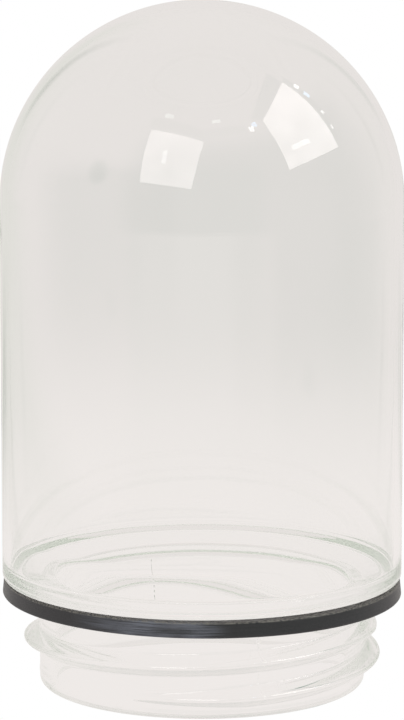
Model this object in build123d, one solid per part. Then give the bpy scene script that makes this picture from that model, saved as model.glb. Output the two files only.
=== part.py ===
"""Screw-neck lamp glass: a domed clear glass with a round glass thread, and its rubber gasket.

The glass stands on its open mouth. The origin is the centre of the mouth plane, +Z runs up to
the top of the dome, and -Y is the front. All sizes are millimetres and all angles degrees,
measured about +Z from +X.
"""
from build123d import *
import math
import os

# Driving dimensions of the glass
body_radius = 47.25
overall_height = 161.6
dome_wall = 1.8
base_wall = 2.0

shoulder_height = 25.4
shoulder_edge_radius = 1.2

neck_radius = 38.5
bore_radius = 35.0
rim_outer_radius = 1.5
rim_inner_radius = 1.2

# Under the shoulder the neck widens to a low collar, which the gasket fits round
cone_foot_height = 21.8
cone_slope = 30.0
cone_foot_radius = 0.8
collar_radius = 43.1
collar_edge_radius = 0.3

# Inside, a sloping ledge joins the neck's bore to the wall
ledge_height = 25.2
ledge_slope = 20.0
ledge_edge_radius = 0.8
ledge_bend_radius = 1.2

# Round glass thread: right hand, 84.5 mm across its crests, 8 mm pitch
thread_major_radius = 42.25
thread_pitch = 8.0
thread_half_angle = 27.0
thread_crest_radius = 0.8
thread_root_bury = 1.0
thread_height_at_zero = 7.05
thread_start_angle = -118.0
thread_full_from = -75.0
thread_full_to = 345.0
thread_end_angle = 395.0

# The thread's tips sink into the neck's wall, so that they fade out
tip_sink = 0.3
tip_crest_radius = 0.25

# Driving dimensions of the gasket
gasket_inner_radius = 43.4
gasket_top_radius = 46.95
gasket_bottom_radius = 47.3
gasket_thickness = 3.7
gasket_edge_radius = 0.45
gasket_seat_gap = 0.05

# Worked out from the driving dimensions
dome_centre_height = overall_height - body_radius
dome_inner_radius = body_radius - dome_wall
base_inner_radius = body_radius - base_wall
cone_top_height = cone_foot_height + (collar_radius - neck_radius) * math.tan(math.radians(cone_slope))
ledge_rise = (base_inner_radius - bore_radius) * math.tan(math.radians(ledge_slope))
ledge_outer_height = ledge_height + ledge_rise
thread_depth = thread_major_radius - neck_radius
gasket_top = shoulder_height - gasket_seat_gap
gasket_bottom = gasket_top - gasket_thickness


def quarter_circle(centre_height, radius):
    """A quarter circle about the Z axis, from the top of a dome down to its side."""
    middle = radius * math.sqrt(0.5)
    return ThreePointArc(
        (0, centre_height + radius),
        (middle, centre_height + middle),
        (radius, centre_height),
    )


def round_corner(outline, corner, radius):
    """Round one corner of an outline, given as (distance from the axis, height)."""
    nearest = outline.vertices().sort_by_distance(corner)[0]
    return fillet(nearest, radius)


def turn_about_axis(outline):
    """Turn an outline, drawn as distance from the axis and height, into a solid about Z."""
    return revolve(Plane.XZ * outline, Axis.Z)


def glass_shell():
    """The glass without its thread: dome, straight wall, shoulder and neck."""
    edges = quarter_circle(dome_centre_height, body_radius)
    edges += Polyline(
        (body_radius, dome_centre_height),
        (body_radius, shoulder_height),
        (collar_radius, shoulder_height),
        (collar_radius, cone_top_height),
        (neck_radius, cone_foot_height),
        (neck_radius, 0),
        (bore_radius, 0),
        (bore_radius, ledge_height),
        (base_inner_radius, ledge_outer_height),
        (dome_inner_radius, dome_centre_height),
    )
    edges += quarter_circle(dome_centre_height, dome_inner_radius)
    edges += Line(
        (0, dome_centre_height + dome_inner_radius),
        (0, overall_height),
    )
    outline = make_face(edges)
    corners = [
        ((body_radius, shoulder_height), shoulder_edge_radius),
        ((collar_radius, cone_top_height), collar_edge_radius),
        ((neck_radius, cone_foot_height), cone_foot_radius),
        ((neck_radius, 0), rim_outer_radius),
        ((bore_radius, 0), rim_inner_radius),
        ((bore_radius, ledge_height), ledge_edge_radius),
        ((base_inner_radius, ledge_outer_height), ledge_bend_radius),
    ]
    for corner, radius in corners:
        outline = round_corner(outline, corner, radius)
    return turn_about_axis(outline)


def ridge_section(height, crest_radius):
    """Cross-section of the thread: X is outward from the neck's wall, Y is along the neck."""
    half_angle = math.radians(thread_half_angle)
    sharp_height = height + crest_radius * (1 / math.sin(half_angle) - 1)
    half_base = (sharp_height + thread_root_bury) * math.tan(half_angle)
    section = make_face(
        Polyline(
            (-thread_root_bury, -half_base),
            (sharp_height, 0),
            (-thread_root_bury, half_base),
            close=True,
        )
    )
    crest = section.vertices().sort_by(Axis.X)[-1]
    return fillet(crest, crest_radius)


def thread_helix(from_angle, to_angle):
    """The stretch of the thread's helix between two angles, on the neck's wall."""
    lead_per_degree = thread_pitch / 360
    start_height = thread_height_at_zero + from_angle * lead_per_degree
    stretch = Helix(
        pitch=thread_pitch,
        height=(to_angle - from_angle) * lead_per_degree,
        radius=neck_radius,
    )
    return Pos(0, 0, start_height) * Rot(0, 0, from_angle) * stretch


def place_on_helix(section, helix, position):
    """Stand a section across the helix at 0, its start, or 1, its end."""
    origin = helix.position_at(position)
    outward = Vector(origin.X, origin.Y, 0)
    return Plane(origin=origin, x_dir=outward, z_dir=helix.tangent_at(position)) * section


def sweep_ridge(from_angle, to_angle, from_section, to_section):
    """Sweep the thread's ridge along its helix, from one section to another."""
    helix = thread_helix(from_angle, to_angle)
    sections = [
        place_on_helix(from_section, helix, 0),
        place_on_helix(to_section, helix, 1),
    ]
    return sweep(sections, path=helix, multisection=True, is_frenet=True)


def thread_ridge():
    """The round thread: a tip that rises out of the neck, the full ridge, and a tip that fades."""
    full = ridge_section(thread_depth, thread_crest_radius)
    tip = ridge_section(-tip_sink, tip_crest_radius)
    return [
        sweep_ridge(thread_start_angle, thread_full_from, tip, full),
        sweep_ridge(thread_full_from, thread_full_to, full, full),
        sweep_ridge(thread_full_to, thread_end_angle, full, tip),
    ]


def make_glass_dome():
    """The one-piece glass, with its thread moulded on the neck."""
    glass = glass_shell()
    for stretch in thread_ridge():
        glass += stretch
    return glass


def make_gasket_ring():
    """The rubber ring, which fits round the collar under the shoulder."""
    outline = make_face(
        Polyline(
            (gasket_inner_radius, gasket_bottom),
            (gasket_bottom_radius, gasket_bottom),
            (gasket_top_radius, gasket_top),
            (gasket_inner_radius, gasket_top),
            close=True,
        )
    )
    outline = fillet(outline.vertices(), gasket_edge_radius)
    return turn_about_axis(outline)


os.makedirs("parts", exist_ok=True)
export_step(make_glass_dome(), "parts/glass_dome.step")
export_step(make_gasket_ring(), "parts/gasket_ring.step")
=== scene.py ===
"""Looks for the screw-neck lamp glass and its rubber gasket.

Everything is in metres in the frame's own axes: +Z up, the front faces -Y, the mouth's rim
stands at Z = 0. Angles round the glass are in degrees from +X, as in the CAD model.
"""
import math

import bpy
import numpy as np
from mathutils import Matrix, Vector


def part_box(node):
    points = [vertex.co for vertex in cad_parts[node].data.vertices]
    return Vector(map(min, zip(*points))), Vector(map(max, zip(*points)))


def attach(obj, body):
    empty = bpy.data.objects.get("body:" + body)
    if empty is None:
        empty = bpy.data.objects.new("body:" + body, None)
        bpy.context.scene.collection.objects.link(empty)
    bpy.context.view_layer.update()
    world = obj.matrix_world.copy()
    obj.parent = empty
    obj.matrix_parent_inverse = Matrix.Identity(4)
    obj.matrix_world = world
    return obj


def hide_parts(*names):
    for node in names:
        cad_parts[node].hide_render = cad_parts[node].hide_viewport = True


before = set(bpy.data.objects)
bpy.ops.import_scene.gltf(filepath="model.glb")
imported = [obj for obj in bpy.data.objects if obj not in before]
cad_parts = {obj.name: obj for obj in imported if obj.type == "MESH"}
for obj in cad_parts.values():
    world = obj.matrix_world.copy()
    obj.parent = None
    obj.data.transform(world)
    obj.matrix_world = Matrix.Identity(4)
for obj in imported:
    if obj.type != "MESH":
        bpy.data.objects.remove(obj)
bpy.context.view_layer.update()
glass_low, glass_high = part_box("glass_dome")
gasket_low, gasket_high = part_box("gasket_ring")

MM = 0.001

# Sizes of the glass: its height and the shoulder's come from the frame, the rest repeat the CAD
TOTAL_H = glass_high.z - glass_low.z
GASKET_GAP = 0.05 * MM
SHOULDER_Z = gasket_high.z + GASKET_GAP
BODY_R = 47.25 * MM
DOME_Z = TOTAL_H - BODY_R
DOME_WALL = 1.8 * MM
BASE_WALL = 2.0 * MM
NECK_R = 38.5 * MM
BORE_R = 35.0 * MM
CONE_FOOT_Z = 21.8 * MM
COLLAR_R = 43.1 * MM
CONE_SLOPE = math.radians(30)
LEDGE_Z = 25.2 * MM
LEDGE_SLOPE = math.radians(20)
# Above this height the wall thins towards the dome
WALL_THINS_FROM_Z = 45 * MM

# Roundings of the glass
SHOULDER_EDGE_R = 1.2 * MM
COLLAR_EDGE_R = 0.3 * MM
CONE_FOOT_R = 0.8 * MM
RIM_OUTER_R = 1.5 * MM
RIM_INNER_R = 1.2 * MM
LEDGE_EDGE_R = 0.8 * MM
LEDGE_BEND_R = 1.2 * MM
# The collar's top corner is sharp in the CAD
COLLAR_TOP_R = 0.25 * MM

# The round thread, right hand
THREAD_DEPTH = 3.75 * MM
THREAD_PITCH = 8.0 * MM
THREAD_HALF_ANGLE = math.radians(27)
THREAD_CREST_R = 0.8 * MM
THREAD_ROOT_BLEND = 0.45 * MM
THREAD_Z_AT_ZERO = 7.05 * MM
THREAD_START, THREAD_FULL_FROM = -118.0, -75.0
THREAD_FULL_TO, THREAD_END = 345.0, 395.0
THREAD_TIP_SINK = 0.3 * MM

# The gasket's outside leans in towards its top
GASKET_INNER_R = 43.4 * MM
GASKET_LEAN = 0.35 * MM
GASKET_EDGE_R = 0.45 * MM
# It hangs lower on the right
GASKET_SAG = 0.65 * MM

# The two halves of the mould met on this line and the one opposite
SEAM_ANGLE = -70.4
SEAM_HEIGHT = 0.22 * MM
SEAM_HALF_WIDTH = 0.22 * MM
SEAM_BEAD_PITCH = 1.3 * MM

# The wall is thicker low down at the front, to the left of the middle
THICK_ANGLE = -106.0
THICK_SPREAD = 29.0
THICK_SLOPE = math.tan(math.radians(9.0))
THICK_TOP, THICK_FOOT = 37.5 * MM, 27 * MM
THICK_SOFT = 3 * MM

# The camera looks slightly down on the glass from far off
CAMERA_LENS = 204.2
CAMERA_BACK = 20 * BODY_R
CAMERA_UP = 2.7706 * BODY_R
CAMERA_TILT = 0.1762

# The table, and a small dark spot on it that the dome mirrors
FLOOR_R = 0.85
FLOOR_DROP = 0.3 * MM
DARK_SPOT = (0.41, -0.233, 0.0)
# A dark spot in the room: its azimuth, elevation and radius in degrees
ROOM_SPOT = (-65, 18, 7.5)

# Light that enters the thick shoulder turns round inside it many times before it leaves
RAY_BOUNCES = 1000

GLASS_IOR = 1.52
ABSORB_DENSITY = 4.0


def rgb(r, g, b):
    """An opaque colour."""
    return (r, g, b, 1.0)


# Linear colours of the glass, the rubber, the paper, the room and the lamps
GLASS_ABSORB = rgb(0.80, 0.86, 0.80)
RUBBER_DARK = rgb(0.004, 0.004, 0.005)
RUBBER_LIGHT = rgb(0.028, 0.028, 0.031)
# Painted sheen: a cool reflection on the ring's front left, put into its colour
RUBBER_PAINTED_COOL_SHEEN = rgb(0.135, 0.150, 0.185)
# Painted sheen: lighter colour at the ring's left and right ends, where it turns away
RUBBER_PAINTED_END_SHEEN = rgb(0.125, 0.120, 0.112)
# Painted highlight: a light line along the ring's top edge
RUBBER_PAINTED_EDGE_HIGHLIGHT = rgb(0.15, 0.145, 0.13)
WHITE = rgb(1, 1, 1)
PAPER_NEAR = rgb(0.87, 0.83, 0.81)
PAPER_FAR = rgb(0.80, 0.765, 0.745)
SIDE_DIM = rgb(0.75, 0.74, 0.70)
STRIP_LEFT = rgb(0.36, 0.40, 0.35)
STRIP_RIGHT = rgb(0.58, 0.60, 0.56)
CEILING = rgb(0.80, 0.76, 0.74)
ROOM_DARK = rgb(0.10, 0.22, 0.17)
ROOM_MIDDLE = rgb(0.38, 0.45, 0.40)
ROOM_LIGHT = rgb(0.58, 0.64, 0.59)
LAMP_WARM = rgb(1, 0.97, 0.95)
LAMP_GREEN = rgb(0.90, 1.0, 0.93)
LAMP_BLUE = rgb(0.45, 0.70, 1.0)


def smoothstep(x, low, high):
    """0 below low and 1 above high, smoothly; with low above high it falls instead."""
    t = np.clip((x - low) / (high - low), 0.0, 1.0)
    return t * t * (3 - 2 * t)


def round_corners(corners, arc_step=math.radians(10)):
    """Points along an outline in the (r, z) half plane.

    Each corner is (r, z, radius, spacing), where spacing is that of the points on the straight
    run after it.
    """
    points = []
    last = len(corners) - 1
    leave = np.array(corners[0][:2])
    for i, (r, z, radius, _) in enumerate(corners[1:], 1):
        corner = np.array([r, z])
        spacing = corners[i - 1][3]
        before = np.array(corners[i - 1][:2])
        toward = (corner - before) / np.linalg.norm(corner - before)
        if i == last or radius == 0:
            points += straight(leave, corner, spacing)
            leave = corner
            continue
        after = np.array(corners[i + 1][:2])
        away = (after - corner) / np.linalg.norm(after - corner)
        turn = math.atan2(toward[0] * away[1] - toward[1] * away[0], float(toward @ away))
        reach = radius * math.tan(abs(turn) / 2)
        enter = corner - toward * reach
        points += straight(leave, enter, spacing)
        side = math.copysign(1, turn)
        normal = np.array([-toward[1], toward[0]]) * side
        centre = enter + normal * radius
        steps = max(3, round(abs(turn) / arc_step))
        for k in range(steps):
            a = turn * k / steps
            c, s = math.cos(a), math.sin(a)
            x, y = -normal * radius
            points.append(centre + (c * x - s * y, s * x + c * y))
        leave = corner + away * reach
    return points


def straight(start, end, spacing):
    """Points on a straight run, its last one left out."""
    count = max(1, round(float(np.linalg.norm(end - start)) / spacing))
    return [start + (end - start) * k / count for k in range(count)]


def dome(radius, up, steps=72):
    """A quarter circle between the dome's top and its side, upwards or downwards."""
    turns = [math.radians(90) * k / steps for k in range(steps)]
    if not up:
        turns = [math.radians(90) - a for a in turns]
    return [np.array([radius * math.cos(a), DOME_Z + radius * math.sin(a)]) for a in turns]


def glass_profile():
    """The outline of the glass, from its top outside round the rim to its top inside.

    Returns the points and, for each, the region that it belongs to.
    """
    inner_r = BODY_R - BASE_WALL
    collar_z = CONE_FOOT_Z + (COLLAR_R - NECK_R) * math.tan(CONE_SLOPE)
    ledge_outer_z = LEDGE_Z + (inner_r - BORE_R) * math.tan(LEDGE_SLOPE)
    outside = round_corners([
        (BODY_R, DOME_Z, 0, 2 * MM),
        (BODY_R, SHOULDER_Z, SHOULDER_EDGE_R, 0.8 * MM),
        (COLLAR_R, SHOULDER_Z, COLLAR_TOP_R, 0.3 * MM),
        (COLLAR_R, collar_z, COLLAR_EDGE_R, 0.4 * MM),
        (NECK_R, CONE_FOOT_Z, CONE_FOOT_R, 0.12 * MM),
        (NECK_R, 0, RIM_OUTER_R, 0.4 * MM),
        (BORE_R, 0, RIM_INNER_R, 0.8 * MM),
    ])
    inside = round_corners([
        (BORE_R, RIM_INNER_R, 0, 1.2 * MM),
        (BORE_R, LEDGE_Z, LEDGE_EDGE_R, 0.6 * MM),
        (inner_r, ledge_outer_z, LEDGE_BEND_R, 0.5 * MM),
        (inner_r, WALL_THINS_FROM_Z, 0, 2 * MM),
        (BODY_R - DOME_WALL, DOME_Z, 0, 2 * MM),
    ], math.radians(4))
    parts = [
        ("outer", dome(BODY_R, up=False)),
        ("outer", outside),
        ("inner", inside),
        ("inner", dome(BODY_R - DOME_WALL, up=True)),
        ("inner", [np.array([0.0, DOME_Z + BODY_R - DOME_WALL])]),
    ]
    points = np.array([p for _, run in parts for p in run])
    names = [name for name, run in parts for _ in run]
    return points, names


def ridge_height(along, height):
    """How far the thread's ridge stands over the neck, at a distance up the neck from its crest."""
    along = np.abs(along)
    crest_end = THREAD_CREST_R * math.cos(THREAD_HALF_ANGLE)
    crest = height - THREAD_CREST_R + np.sqrt(np.maximum(THREAD_CREST_R**2 - along**2, 0))
    flank_top = height - THREAD_CREST_R * (1 - math.sin(THREAD_HALF_ANGLE))
    flank = flank_top - (along - crest_end) / math.tan(THREAD_HALF_ANGLE)
    return np.where(along < crest_end, crest, flank)


def thread(angle, z):
    """How far the thread stands out of the neck, at angles and heights, with a soft root."""
    out = np.zeros_like(z)
    for turn in (-360.0, 0.0, 360.0):
        a = angle + turn
        rise = np.clip((a - THREAD_START) / (THREAD_FULL_FROM - THREAD_START), 0, 1)
        fall = np.clip((THREAD_END - a) / (THREAD_END - THREAD_FULL_TO), 0, 1)
        height = (THREAD_DEPTH + THREAD_TIP_SINK) * np.minimum(rise, fall) - THREAD_TIP_SINK
        ridge = ridge_height(z - THREAD_Z_AT_ZERO - THREAD_PITCH * a / 360, height)
        out = np.maximum(out, 0.5 * (ridge + np.sqrt(ridge**2 + THREAD_ROOT_BLEND**2)))
    return out


def seam(angle, z):
    """Height of the raised lines of small beads that the mould left on the neck."""
    beads = 0.65 + 0.35 * np.cos(2 * math.pi * z / SEAM_BEAD_PITCH)
    height = 0
    for line in (SEAM_ANGLE, SEAM_ANGLE + 180):
        off = np.radians((angle - line + 180) % 360 - 180) * NECK_R
        height = height + SEAM_HEIGHT * beads * np.exp(-((off / SEAM_HALF_WIDTH) ** 2))
    return height


def thick_patch(angle, z):
    """How much the wall's inside stands in where the glass ran thicker."""
    off = (angle - THICK_ANGLE + 180) % 360 - 180
    round_weight = np.exp(-((off / THICK_SPREAD) ** 2) / 2)
    below = np.clip(THICK_TOP - z, 0, THICK_TOP - THICK_FOOT)
    rise = np.where(below < THICK_SOFT, below**2 / (2 * THICK_SOFT), below - THICK_SOFT / 2)
    return THICK_SLOPE * round_weight * rise


def round_angles():
    """Angles round the glass in degrees, closer together at the two mould seams."""
    seams = [SEAM_ANGLE, SEAM_ANGLE + 180]
    angles = [a for a in np.arange(-180, 180, 1.0) if all(abs(a - s) > 1.6 for s in seams)]
    for s in seams:
        angles += list(s + np.linspace(-1.5, 1.5, 21))
    return np.array(sorted(angles))


def mesh_object(name, verts, faces):
    """A new smooth-shaded object in the scene, from its points and faces."""
    mesh = bpy.data.meshes.new(name)
    mesh.from_pydata(verts.tolist(), [], faces)
    mesh.validate()
    mesh.shade_smooth()
    obj = bpy.data.objects.new(name, mesh)
    bpy.context.scene.collection.objects.link(obj)
    return obj


def make_glass():
    """The glass as one closed mesh: its outline turned about Z, with thread, seams and thick patch."""
    profile, names = glass_profile()
    angles = round_angles()
    a, r = np.meshgrid(angles, profile[:, 0], indexing="ij")
    z = np.broadcast_to(profile[:, 1], a.shape)
    outer = np.array([name == "outer" for name in names])
    on_neck = outer & (np.abs(profile[:, 0] - NECK_R) < 1e-7)
    fade = smoothstep(z, 0.8 * MM, 2.5 * MM) * smoothstep(z, CONE_FOOT_Z, CONE_FOOT_Z - 1 * MM)
    r = r + on_neck * (thread(a, z) + seam(a, z) * fade)
    reach = np.clip((profile[:, 0] - BORE_R) / (BODY_R - BASE_WALL - BORE_R), 0, 1)
    r = r - ~outer * (z < THICK_TOP) * reach * thick_patch(a, z)
    t = np.radians(a)
    grid = np.stack([r * np.cos(t), r * np.sin(t), z], 2)
    count, rows = a.shape
    n = rows - 2
    poles = [[0, 0, profile[0, 1]], [0, 0, profile[-1, 1]]]
    verts = np.concatenate([grid[:, 1:-1].reshape(-1, 3), poles])
    top, under_top = count * n, count * n + 1
    faces = []
    for i in range(count):
        j = (i + 1) % count
        faces += [(i * n + k, i * n + k + 1, j * n + k + 1, j * n + k) for k in range(n - 1)]
        faces.append((top, i * n, j * n))
        faces.append((i * n + n - 1, under_top, j * n + n - 1))
    return mesh_object("glass_dome_clear", verts, faces)


def make_gasket():
    """The rubber ring round the collar."""
    inner = GASKET_INNER_R
    outer_low, outer_top = gasket_high.x, gasket_high.x - GASKET_LEAN
    low, top = gasket_low.z, gasket_high.z
    corner = GASKET_EDGE_R
    middle = (inner + outer_low) / 2
    outline = round_corners([
        (middle, low, 0, 0.4 * MM),
        (outer_low, low, corner, 0.4 * MM),
        (outer_top, top, corner, 0.4 * MM),
        (inner, top, corner, 0.4 * MM),
        (inner, low, corner, 0.4 * MM),
        (middle, low, 0, 1),
    ], math.radians(18))
    profile = np.array(outline)
    angles = np.radians(np.arange(0, 360, 1.0))
    a, r = np.meshgrid(angles, profile[:, 0], indexing="ij")
    z = np.broadcast_to(profile[:, 1], a.shape)
    x = r * np.cos(a)
    sag = GASKET_SAG * (1 + x / gasket_high.x) / 2
    verts = np.stack([x, r * np.sin(a), z - sag], 2).reshape(-1, 3)
    n, m = len(profile), len(angles)
    faces = [
        (i * n + k, (i + 1) % m * n + k, (i + 1) % m * n + (k + 1) % n, i * n + (k + 1) % n)
        for i in range(m)
        for k in range(n)
    ]
    return mesh_object("gasket_rubber", verts, faces)


class Nodes:
    """Adds nodes to a tree in one line each; an input may be a number, a colour or a socket."""

    def __init__(self, tree):
        self.tree = tree

    def add(self, kind, inputs=None, out=0, **settings):
        node = self.tree.nodes.new("ShaderNode" + kind)
        for name, value in settings.items():
            setattr(node, name, value)
        for key, value in (inputs or {}).items():
            self.put(node.inputs[key], value)
        return node.outputs[out] if node.outputs else node

    def put(self, socket, value):
        if isinstance(value, bpy.types.NodeSocket):
            self.tree.links.new(value, socket)
        else:
            socket.default_value = value

    def math(self, operation, *values):
        return self.add("Math", dict(enumerate(values)), operation=operation)

    def ramp(self, value, low, high):
        """0 below low and 1 above high, smoothly; with low above high it falls instead."""
        inputs = {"Value": value, "From Min": low, "From Max": high}
        return self.add("MapRange", inputs, interpolation_type="SMOOTHSTEP")

    def both(self, *masks):
        out = masks[0]
        for mask in masks[1:]:
            out = self.math("MULTIPLY", out, mask)
        return out

    def mix(self, factor, a, b):
        node = self.tree.nodes.new("ShaderNodeMix")
        node.data_type = "RGBA"
        for name, value in (("Factor_Float", factor), ("A_Color", a), ("B_Color", b)):
            socket = next(s for s in node.inputs if s.identifier == name)
            self.put(socket, value)
        return next(s for s in node.outputs if s.identifier == "Result_Color")


def principled(name):
    """A new material, with its node helper and its Principled shader."""
    mat = bpy.data.materials.new(name)
    mat.use_nodes = True
    n = Nodes(mat.node_tree)
    return mat, n, mat.node_tree.nodes["Principled BSDF"]


def glass_material():
    """Pressed clear glass: very faint green, a little wavy, with a few faint smears."""
    mat, n, bsdf = principled("clear_glass")
    bsdf.inputs["Transmission Weight"].default_value = 1.0
    bsdf.inputs["IOR"].default_value = GLASS_IOR
    place = n.add("TexCoord", out="Object")
    smears = n.add("TexNoise", {"Vector": place, "Scale": 45.0, "Detail": 4.0})
    tint = n.mix(smears, rgb(0.985, 0.99, 0.985), rgb(1, 1, 1))
    n.put(bsdf.inputs["Base Color"], tint)
    smeared = n.ramp(smears, 0.58, 0.72)
    n.put(bsdf.inputs["Roughness"], n.math("MULTIPLY", smeared, 0.012))
    waves = n.add("TexNoise", {"Vector": place, "Scale": 55.0, "Detail": 1.5})
    wavy = n.add("Bump", {"Height": waves, "Strength": 0.35, "Distance": 0.0001})
    n.put(bsdf.inputs["Normal"], wavy)
    absorb = mat.node_tree.nodes.new("ShaderNodeVolumeAbsorption")
    absorb.inputs["Color"].default_value = GLASS_ABSORB
    absorb.inputs["Density"].default_value = ABSORB_DENSITY
    mat.node_tree.links.new(absorb.outputs[0], mat.node_tree.nodes["Material Output"].inputs["Volume"])
    return mat


def rubber_material():
    """Black rubber with fine streaks round it, and painted light: a cool sheen at the front left, a
    sheen at the left and right ends and a highlight along the top edge.
    """
    mat, n, bsdf = principled("black_rubber")
    place = n.add("TexCoord", out="Object")
    split = mat.node_tree.nodes.new("ShaderNodeSeparateXYZ")
    n.put(split.inputs[0], place)
    x, y, z = split.outputs
    round_it = n.math("ARCTAN2", x, n.math("MULTIPLY", y, -1.0))
    unrolled = n.add("CombineXYZ", {"X": round_it, "Z": n.math("MULTIPLY", z, 1 / MM)})
    streaks = n.add("TexNoise", {"Vector": unrolled, "Scale": 3.0, "Detail": 6.0, "Roughness": 0.7})
    grain = n.add("TexNoise", {"Vector": place, "Scale": 1800.0, "Detail": 3.0})
    patches = n.add("TexNoise", {"Vector": place, "Scale": 60.0, "Detail": 2.0})
    colour = n.mix(streaks, RUBBER_DARK, RUBBER_LIGHT)
    # Painted sheen: a cool reflection drawn into the colour at the front left, broken up by patches
    # and streaks
    painted_cool_sheen = n.both(
        band(n, round_it, -42, -15, -4, 9),
        n.ramp(patches, 0.25, 0.60),
        n.ramp(streaks, 0.36, 0.60),
    )
    colour = n.mix(painted_cool_sheen, colour, RUBBER_PAINTED_COOL_SHEEN)
    # Painted sheen: the ring's left and right ends are made lighter in streaks
    painted_end_sheen = n.ramp(n.math("ABSOLUTE", round_it), math.radians(66), math.radians(86))
    colour = n.mix(n.both(painted_end_sheen, n.ramp(streaks, 0.40, 0.62)), colour, RUBBER_PAINTED_END_SHEEN)
    sag = n.math("MULTIPLY", n.math("ADD", n.math("DIVIDE", x, gasket_high.x), 1.0), GASKET_SAG / 2)
    level = n.math("ADD", z, sag)
    # Painted highlight along the top edge, broken up by fine grain
    edge = n.ramp(level, gasket_high.z - 0.55 * MM, gasket_high.z - 0.15 * MM)
    painted_edge_highlight = n.both(edge, n.ramp(grain, 0.35, 0.6))
    colour = n.mix(painted_edge_highlight, colour, RUBBER_PAINTED_EDGE_HIGHLIGHT)
    n.put(bsdf.inputs["Base Color"], colour)
    rough = n.math("ADD", n.math("MULTIPLY", streaks, 0.3), 0.32)
    n.put(bsdf.inputs["Roughness"], rough)
    relief = n.math("ADD", n.math("MULTIPLY", streaks, 0.6), n.math("MULTIPLY", grain, 0.4))
    bump = n.add("Bump", {"Height": relief, "Strength": 0.5, "Distance": 0.0002})
    n.put(bsdf.inputs["Normal"], bump)
    return mat


def band(n, value, start, full, fall, end):
    """1 between full and fall, 0 before start and after end; all in degrees of an angle."""
    return n.both(
        n.ramp(value, math.radians(start), math.radians(full)),
        n.ramp(value, math.radians(end), math.radians(fall)),
    )


def sides(n, azimuth, base, strength):
    """The pale backdrop, dimmer at the sides, with a dark upright strip at each side.

    The strips fade with strength, because the floor's and the backdrop's don't meet at the horizon.
    """
    behind = n.math("SUBTRACT", math.pi, n.math("ABSOLUTE", azimuth))
    left = n.math("LESS_THAN", azimuth, 0.0)
    dim = n.mix(band(n, behind, 9, 17, 42, 62), base, n.mix(left, base, SIDE_DIM))
    strip = n.mix(left, STRIP_RIGHT, STRIP_LEFT)
    return n.mix(n.both(band(n, behind, 25, 27, 28.5, 30.5), strength), dim, strip)


def dark_room(n, azimuth):
    """Mask of the dark part of the room, in front and to the right."""
    return band(n, azimuth, -54, -27, 84, 132)


def near(n, direction, azimuth, elevation, radius):
    """Mask of a soft round patch about a direction, all in degrees."""
    axis = aim(azimuth, elevation, 1.0) - aim(azimuth, elevation, 0.0)
    toward = n.add("VectorMath", {0: direction, 1: tuple(axis)}, out="Value", operation="DOT_PRODUCT")
    return n.ramp(toward, math.cos(math.radians(radius)), math.cos(math.radians(radius * 0.3)))


def light_path(n):
    """Two masks: what the camera sees directly, and every ray but those with just one reflection."""
    path = n.tree.nodes.new("ShaderNodeLightPath")
    once = n.math("COMPARE", path.outputs["Glossy Depth"], 1.0, 0.1)
    return path.outputs["Is Camera Ray"], n.math("SUBTRACT", 1.0, once)


def make_world():
    """White to the camera, a pale backdrop through the glass, and the room in its reflections."""
    world = bpy.data.worlds.new("studio")
    bpy.context.scene.world = world
    world.use_nodes = True
    world.node_tree.nodes.clear()
    n = Nodes(world.node_tree)
    direction = n.add("TexCoord", out="Generated")
    split = world.node_tree.nodes.new("ShaderNodeSeparateXYZ")
    n.put(split.inputs[0], direction)
    x, y, z = split.outputs
    azimuth = n.math("ARCTAN2", x, n.math("MULTIPLY", y, -1.0))
    elevation = n.math("ARCSINE", z)
    above = n.ramp(elevation, math.radians(1), math.radians(14))
    backdrop = sides(n, azimuth, PAPER_FAR, above)
    backdrop = n.mix(n.ramp(elevation, math.radians(20), math.radians(50)), backdrop, CEILING)
    high = n.ramp(elevation, math.radians(50), math.radians(31))
    room = n.mix(n.both(dark_room(n, azimuth), high), backdrop, ROOM_DARK)
    room = n.mix(near(n, direction, *ROOM_SPOT), room, ROOM_DARK)
    camera, through = light_path(n)
    colour = n.mix(through, room, backdrop)
    colour = n.mix(camera, colour, WHITE)
    background = n.add("Background", {"Color": colour})
    n.add("OutputWorld", {"Surface": background})


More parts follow.
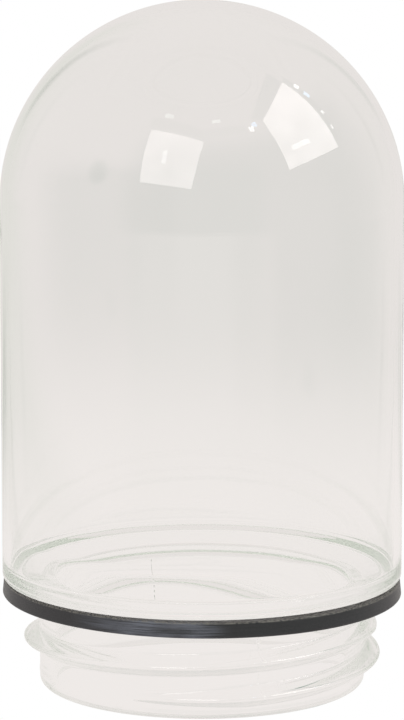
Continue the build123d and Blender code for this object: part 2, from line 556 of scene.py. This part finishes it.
def make_floor():
    """The table's pale paper. It looks white to the camera, and gives the glass its surroundings."""
    steps = 96
    turns = [2 * math.pi * k / steps for k in range(steps)]
    ring = [(FLOOR_R * math.cos(a), FLOOR_R * math.sin(a), 0) for a in turns]
    mesh = bpy.data.meshes.new("floor")
    mesh.from_pydata(ring, [], [list(range(steps))])
    floor = bpy.data.objects.new("floor", mesh)
    bpy.context.scene.collection.objects.link(floor)
    floor.location.z = -FLOOR_DROP
    mat = bpy.data.materials.new("floor_paper")
    mat.use_nodes = True
    mat.node_tree.nodes.clear()
    n = Nodes(mat.node_tree)
    position = n.add("TexCoord", out="Object")
    split = mat.node_tree.nodes.new("ShaderNodeSeparateXYZ")
    n.put(split.inputs[0], position)
    x, y, _ = split.outputs
    azimuth = n.math("ARCTAN2", x, n.math("MULTIPLY", y, -1.0))
    distance = n.add("VectorMath", {0: position}, out="Value", operation="LENGTH")
    paper = n.mix(n.ramp(distance, 0.2, 0.52), PAPER_NEAR, PAPER_FAR)
    nearer = n.ramp(distance, 0.75, 0.35)
    paper = n.mix(n.ramp(distance, 0.1, 0.4), paper, sides(n, azimuth, paper, nearer))
    beyond = n.ramp(distance, 0.22, 0.64)
    front = band(n, azimuth, -46, -33, 84, 132)
    middle = n.ramp(azimuth, math.radians(12), math.radians(22))
    right = n.ramp(azimuth, math.radians(34), math.radians(46))
    room = n.mix(middle, ROOM_LIGHT, ROOM_MIDDLE)
    room = n.mix(right, room, ROOM_DARK)
    room = n.mix(n.both(beyond, front), paper, room)
    spot = n.add("VectorMath", {0: position, 1: DARK_SPOT}, out="Value", operation="DISTANCE")
    room = n.mix(n.ramp(spot, 0.045, 0.01), room, ROOM_DARK)
    camera, through = light_path(n)
    colour = n.mix(through, room, paper)
    colour = n.mix(camera, colour, WHITE)
    emission = n.add("Emission", {"Color": colour})
    n.add("OutputMaterial", {"Surface": emission})
    mesh.materials.append(mat)


def aim(azimuth, elevation, distance):
    """A place at a direction from the dome's centre; azimuth 0 is the front, + to the right."""
    a, e = math.radians(azimuth), math.radians(elevation)
    return np.array([
        distance * math.cos(e) * math.sin(a),
        -distance * math.cos(e) * math.cos(a),
        DOME_Z + distance * math.sin(e),
    ])


def make_panel(name, corners, distance, colour, strength):
    """A flat panel whose corners lie in these directions, each (azimuth, elevation)."""
    centre = np.array([0, 0, DOME_Z])
    rays = [aim(a, e, 1.0) - centre for a, e in corners]
    axis = sum(rays) / np.linalg.norm(sum(rays))
    places = [centre + distance * ray / (ray @ axis) for ray in rays]
    mesh = bpy.data.meshes.new(name)
    mesh.from_pydata([tuple(p) for p in places], [], [list(range(len(places)))])
    panel = bpy.data.objects.new(name, mesh)
    bpy.context.scene.collection.objects.link(panel)
    panel.visible_camera = False
    panel.visible_transmission = False
    mat = bpy.data.materials.new(name)
    mat.use_nodes = True
    mat.node_tree.nodes.clear()
    n = Nodes(mat.node_tree)
    place = n.add("TexCoord", out="Generated")
    cloth = n.add("TexNoise", {"Vector": place, "Scale": 3.0, "Detail": 1.0})
    glow = n.math("MULTIPLY", n.math("ADD", n.math("MULTIPLY", cloth, 0.5), 0.75), strength)
    emission = n.add("Emission", {"Color": colour, "Strength": glow})
    n.add("OutputMaterial", {"Surface": emission})
    mesh.materials.append(mat)


def lamp(name, azimuth, elevation, half_width, half_height, colour, strength):
    """A small glowing panel about one direction."""
    half_azimuth = half_width / math.cos(math.radians(elevation))
    corners = [
        (azimuth + u * half_azimuth, elevation + v * half_height)
        for u, v in ((-1, -1), (1, -1), (1, 1), (-1, 1))
    ]
    make_panel(name, corners, 1.15, colour, strength)


def make_lights():
    """Two softboxes with dark frames, and the small lamps round them."""
    box_right = [(97, 56), (93, 22), (53, 21), (49, 48), (71, 54.5)]
    box_left = [(-38, 45), (1, 41), (-6, 15), (-36, 17)]
    make_panel("softbox_right", box_right, 1.2, LAMP_WARM, 4.5)
    make_panel("softbox_left", box_left, 1.2, LAMP_WARM, 3.7)
    upper_frame = [(97, 56.5), (71, 55), (48, 48.5), (41, 51), (66, 61), (100, 63)]
    side_frame = [(97.5, 56), (93.5, 22), (98, 24), (104, 56)]
    left_frame = [(-40, 46), (1, 42), (34, 44), (33, 48), (0, 48), (-42, 52)]
    make_panel("frame_upper", upper_frame, 1.25, ROOM_DARK, 1.0)
    make_panel("frame_side", side_frame, 1.25, ROOM_DARK, 1.0)
    make_panel("frame_left", left_frame, 1.3, ROOM_MIDDLE, 1.0)
    lamp("lamp_inner", 67, 31, 6, 1.2, WHITE, 7.0)
    lamp("lamp_streak", -23.7, 31.6, 1.2, 3.5, WHITE, 5.5)
    lamp("lamp_back_left", -28.4, 54.3, 2.2, 1.2, LAMP_GREEN, 3.0)
    lamp("lamp_back_right", 11.8, 52.6, 2.2, 1.0, LAMP_GREEN, 3.2)
    lamp("lamp_between", 37.5, 45.5, 1.3, 1.3, WHITE, 7.0)
    lamp("lamp_between_blue", 41.0, 47.5, 1.2, 1.2, LAMP_BLUE, 6.0)
    lamp("lamp_side_upper", 101.0, 50.0, 1.1, 1.1, WHITE, 7.0)
    lamp("lamp_side_blue", 100.5, 45.0, 1.1, 1.4, LAMP_BLUE, 6.0)
    lamp("lamp_side_lower", 98.5, 36.0, 0.8, 0.8, WHITE, 6.0)
    lamp("lamp_side_last", 97.0, 29.5, 0.7, 0.8, WHITE, 5.0)


def make_camera():
    data = bpy.data.cameras.new("camera")
    data.lens = CAMERA_LENS
    data.sensor_width = 36
    cam = bpy.data.objects.new("camera", data)
    cam.location = (0, -CAMERA_BACK, DOME_Z + CAMERA_UP)
    cam.rotation_euler = (math.pi / 2 - CAMERA_TILT, 0, 0)
    data.clip_start, data.clip_end = 0.01, 20
    bpy.context.scene.collection.objects.link(cam)
    bpy.context.scene.camera = cam


glass = make_glass()
glass.data.materials.append(glass_material())
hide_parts("glass_dome")
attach(glass, "glass")

gasket = make_gasket()
gasket.data.materials.append(rubber_material())
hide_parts("gasket_ring")
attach(gasket, "gasket")
# The ring isn't drawn through the glass or in its reflections
gasket.visible_transmission = False
gasket.visible_glossy = False

make_world()
make_floor()
make_lights()
make_camera()
scene = bpy.context.scene
scene.view_settings.view_transform = "Standard"
scene.cycles.max_bounces = RAY_BOUNCES
scene.cycles.transmission_bounces = RAY_BOUNCES
scene.cycles.glossy_bounces = RAY_BOUNCES
scene.cycles.use_denoising = True
